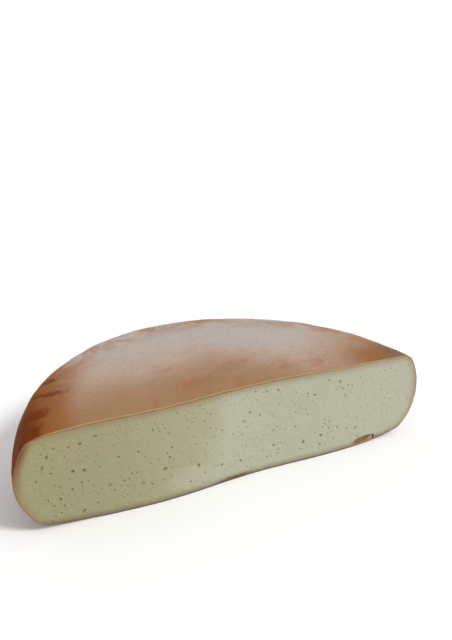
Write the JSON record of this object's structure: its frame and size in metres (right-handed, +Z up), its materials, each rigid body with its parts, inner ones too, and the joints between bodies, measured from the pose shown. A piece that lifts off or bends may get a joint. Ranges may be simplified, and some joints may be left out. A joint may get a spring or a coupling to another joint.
{
  "type": "raclette half wheel",
  "caption": "Half wheel of raclette cheese lying flat: a semicircular block with a bulging washed rind and a flat cut face dotted with small eyes.",
  "frame": {"origin": "on the floor under the middle of the half wheel's bounding box", "axes": "+Z up, +X along the cut from its left end to its right end, -Y out of the cut face towards the viewer"},
  "size_m": [0.31, 0.1482, 0.0723],
  "materials": {
    "cheese": "moist, slightly waxy paste inside a dry matt washed rind"
  },
  "bodies": {
    "root": {"half_wheel": "cheese"}
  },
  "joints": []
}
